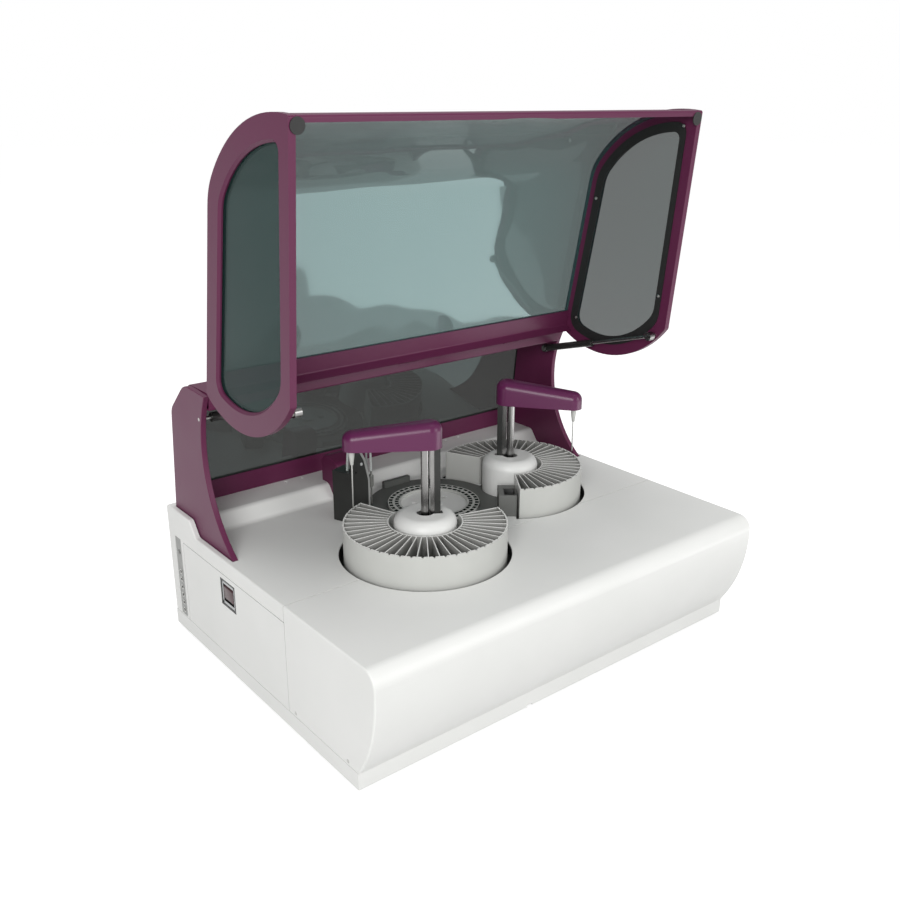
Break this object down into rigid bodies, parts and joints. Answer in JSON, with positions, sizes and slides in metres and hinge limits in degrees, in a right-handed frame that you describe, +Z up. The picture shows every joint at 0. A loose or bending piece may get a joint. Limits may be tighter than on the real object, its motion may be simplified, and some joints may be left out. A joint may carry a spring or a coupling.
{
  "type": "benchtop chemistry analyzer",
  "caption": "Benchtop chemistry analyzer with an open tinted lid on gas springs, two dispensing arms, two slotted trays and a reaction disk.",
  "frame": {"origin": "under the middle of the body, on the bench, at the centre of the bounding box", "axes": "+X to the right, +Y to the back, +Z up"},
  "size_m": [0.85, 0.674, 0.9396],
  "materials": {
    "pale_shell": "moulded pale grey plastic, satin",
    "purple_shell": "moulded purple plastic, satin",
    "purple_frame": "purple paint, satin",
    "tinted_sheet": "tinted clear acrylic",
    "white_tray": "moulded white plastic",
    "charcoal": "fine-grained charcoal plastic",
    "black_plastic": "black plastic",
    "grey_plastic": "grey plastic",
    "rubber": "soft black rubber",
    "chrome": "polished chrome",
    "steel": "bright steel",
    "aluminium": "machined aluminium",
    "zinc_sheet": "grey coated sheet steel",
    "clear_tube": "clear silicone tube",
    "circuit_green": "circuit board"
  },
  "bodies": {
    "base": {"rubber_feet": "rubber", "plinth_frame": "pale_shell", "chassis": "zinc_sheet", "main_shell": "pale_shell", "side_panels": "pale_shell", "rear_panel": "pale_shell", "front_cover": "pale_shell", "body_screws": "steel", "power_module": "black_plastic", "connector_strip": "zinc_sheet", "fluid_ports": "steel", "uprights": "purple_frame", "base_bar": "purple_frame", "rear_window": "tinted_sheet", "cross_beam": "purple_frame", "hinge_pins": "steel", "spring_bolts": "steel", "tray_wells": "black_plastic", "drive_motors": "aluminium", "incubator_well": "aluminium", "disk_cover": "charcoal", "photometer": "black_plastic", "reader_box": "grey_plastic", "wash_column": "black_plastic", "wash_bracket": "zinc_sheet", "wash_tubes": "clear_tube", "wash_housing": "purple_shell", "power_supply": "zinc_sheet", "control_board": "circuit_green", "dosing_pumps": "grey_plastic"},
    "power_switch": {"power_rocker": "black_plastic"},
    "lid": {"lid_side_panels": "purple_shell", "lid_studs": "steel", "side_windows": "tinted_sheet", "window_gaskets": "rubber", "lid_sheet": "tinted_sheet", "lid_front_bar": "purple_shell", "lid_rear_bar": "purple_frame", "corner_pads": "rubber"},
    "spring_barrels": {"spring_barrels": "black_plastic"},
    "spring_rods": {"spring_rods": "chrome"},
    "front_turret": {"front_dome": "pale_shell", "front_turret_hub": "aluminium"},
    "rear_turret": {"rear_dome": "pale_shell", "rear_turret_hub": "aluminium"},
    "front_arm": {"front_arm_cover": "purple_shell", "front_arm_carrier": "black_plastic", "front_arm_shafts": "chrome", "front_probe": "steel"},
    "rear_arm": {"rear_arm_cover": "purple_shell", "rear_arm_carrier": "black_plastic", "rear_arm_shafts": "chrome", "rear_probe": "steel"},
    "reaction_rotor": {"cuvette_ring": "white_tray", "rotor_disc": "pale_shell"},
    "wash_head": {"wash_head": "steel"},
    "front_tray": {"front_tray": "white_tray", "front_tray_dividers": "white_tray"},
    "rear_tray": {"rear_tray": "white_tray", "rear_tray_dividers": "white_tray"}
  },
  "joints": [
    {"name": "lid_hinge", "type": "hinge", "parent": "base", "child": "lid", "pos_m": [0, 0.153, 0.494], "axis": [1, 0, 0], "range_deg": [0, 84.6]},
    {"name": "barrel_pivot", "type": "hinge", "parent": "base", "child": "spring_barrels", "pos_m": [0, 0.183, 0.452], "axis": [1, 0, 0], "range_deg": [0, 81.94]},
    {"name": "piston_slide", "type": "slide", "parent": "spring_barrels", "child": "spring_rods", "axis": [0, -0.964, 0.2658], "range_m": [-0.06854, 0]},
    {"name": "power_rocker", "type": "hinge", "parent": "base", "child": "power_switch", "pos_m": [-0.412, 0.102, 0.1605], "axis": [0, 1, 0], "range_deg": [-8, 8]},
    {"name": "front_turret_turn", "type": "hinge", "parent": "base", "child": "front_turret", "pos_m": [-0.13552, -0.07194, 0], "axis": [0, 0, 1], "range_deg": [-100.23, 195]},
    {"name": "front_arm_lift", "type": "slide", "parent": "front_turret", "child": "front_arm", "axis": [0, 0, -1], "range_m": [0, 0.095]},
    {"name": "rear_turret_turn", "type": "hinge", "parent": "base", "child": "rear_turret", "pos_m": [0.16603, 0.04902, 0], "axis": [0, 0, 1], "range_deg": [-110.3, 165]},
    {"name": "rear_arm_lift", "type": "slide", "parent": "rear_turret", "child": "rear_arm", "axis": [0, 0, -1], "range_m": [0, 0.095]},
    {"name": "rotor_turn", "type": "hinge", "parent": "base", "child": "reaction_rotor", "pos_m": [0, 0.08, 0], "axis": [0, 0, 1], "continuous": true},
    {"name": "wash_head_lift", "type": "slide", "parent": "base", "child": "wash_head", "axis": [0, 0, -1], "range_m": [0, 0.03]},
    {"name": "front_tray_lift", "type": "slide", "parent": "base", "child": "front_tray", "axis": [0, 0, -1], "range_m": [-0.025, 0]},
    {"name": "rear_tray_lift", "type": "slide", "parent": "base", "child": "rear_tray", "axis": [0, 0, -1], "range_m": [-0.025, 0]}
  ],
  "couplings": [
    {"joint": "barrel_pivot", "follows": "lid_hinge", "ratio": 0.96796},
    {"joint": "piston_slide", "follows": "lid_hinge", "m_per_rad": -0.046348}
  ]
}
